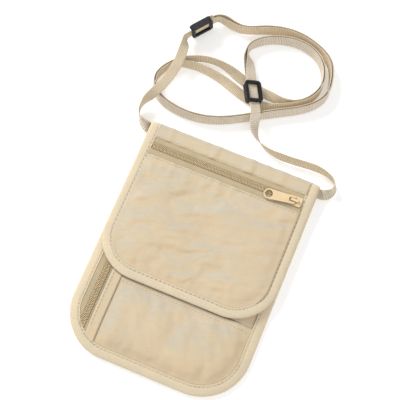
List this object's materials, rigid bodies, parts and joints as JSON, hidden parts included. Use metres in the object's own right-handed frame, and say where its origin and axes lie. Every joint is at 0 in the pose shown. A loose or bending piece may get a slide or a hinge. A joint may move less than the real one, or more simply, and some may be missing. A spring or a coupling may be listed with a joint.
{
  "type": "neck pouch wallet",
  "caption": "Flat fabric neck pouch with a fold-over flap that has its own zip, a side zip, a slip pocket and a webbing neck strap with sliding adjusters.",
  "frame": {"origin": "centre of the back panel's outer face, which lies on the ground", "axes": "+X to the right across the pouch seen from its front, +Y up the pouch towards the fold and the strap, +Z out of the front"},
  "size_m": [0.1776, 0.3177, 0.0148],
  "materials": {
    "pouch_fabric": "thin crinkled nylon",
    "binding_tape": "folded woven tape",
    "zip_tape": "herringbone zip tape",
    "zip_coil": "moulded nylon coil",
    "zip_metal": "beige enamel on metal",
    "webbing": "ribbed narrow webbing",
    "adjuster_plastic": "black moulded plastic"
  },
  "bodies": {
    "pouch": {"back_panel": "pouch_fabric", "front_panel": "pouch_fabric", "slip_pocket_panel": "pouch_fabric", "side_zip_facing": "pouch_fabric", "top_fold": "pouch_fabric", "pouch_binding": "binding_tape", "side_zip_tape_outer": "zip_tape", "side_zip_tape_inner": "zip_tape", "side_zip_coil_outer": "zip_coil", "side_zip_coil_inner": "zip_coil", "strap_tab_left": "webbing", "strap_tab_right": "webbing"},
    "flap": {"flap_lining": "pouch_fabric", "flap_top_strip": "pouch_fabric", "flap_front_panel": "pouch_fabric", "flap_binding": "binding_tape", "flap_zip_tape_upper": "zip_tape", "flap_zip_tape_lower": "zip_tape", "flap_zip_coil_upper": "zip_coil", "flap_zip_coil_lower": "zip_coil"},
    "flap_slider": {"flap_zip_slider": "zip_metal"},
    "flap_puller": {"flap_zip_puller": "zip_metal"},
    "side_slider": {"side_zip_slider": "zip_metal", "side_zip_puller": "zip_metal"},
    "strap": {"strap_left": "webbing", "strap_right": "webbing"},
    "left_adjuster": {"strap_adjuster_left": "adjuster_plastic", "sewn_loop_left": "webbing"},
    "right_adjuster": {"strap_adjuster_right": "adjuster_plastic", "sewn_loop_right": "webbing"}
  },
  "joints": [
    {"name": "flap_hinge", "type": "hinge", "parent": "pouch", "child": "flap", "pos_m": [0, 0.098, 0.00662], "axis": [-1, 0, 0], "range_deg": [0, 135]},
    {"name": "flap_zip_slide", "type": "slide", "parent": "flap", "child": "flap_slider", "axis": [-1, 0, 0], "range_m": [0, 0.118]},
    {"name": "flap_puller_flip", "type": "hinge", "parent": "flap_slider", "child": "flap_puller", "pos_m": [0.0595, 0.0775, 0.01035], "axis": [-0.1219, 0.9925, 0], "range_deg": [0, 180]},
    {"name": "side_zip_slide", "type": "slide", "parent": "pouch", "child": "side_slider", "axis": [0, -1, 0], "range_m": [0, 0.132]},
    {"name": "strap_swing", "type": "hinge", "parent": "pouch", "child": "strap", "pos_m": [0, 0.0928, 0.00195], "axis": [-1, 0, 0], "range_deg": [-90, 0]},
    {"name": "left_adjuster_slide", "type": "slide", "parent": "strap", "child": "left_adjuster", "axis": [0.6018, 0.7986, 0], "range_m": [-0.002, 0.002]},
    {"name": "right_adjuster_slide", "type": "slide", "parent": "strap", "child": "right_adjuster", "axis": [-0.4637, 0.8721, -0.1564], "range_m": [-0.002, 0.002]}
  ]
}
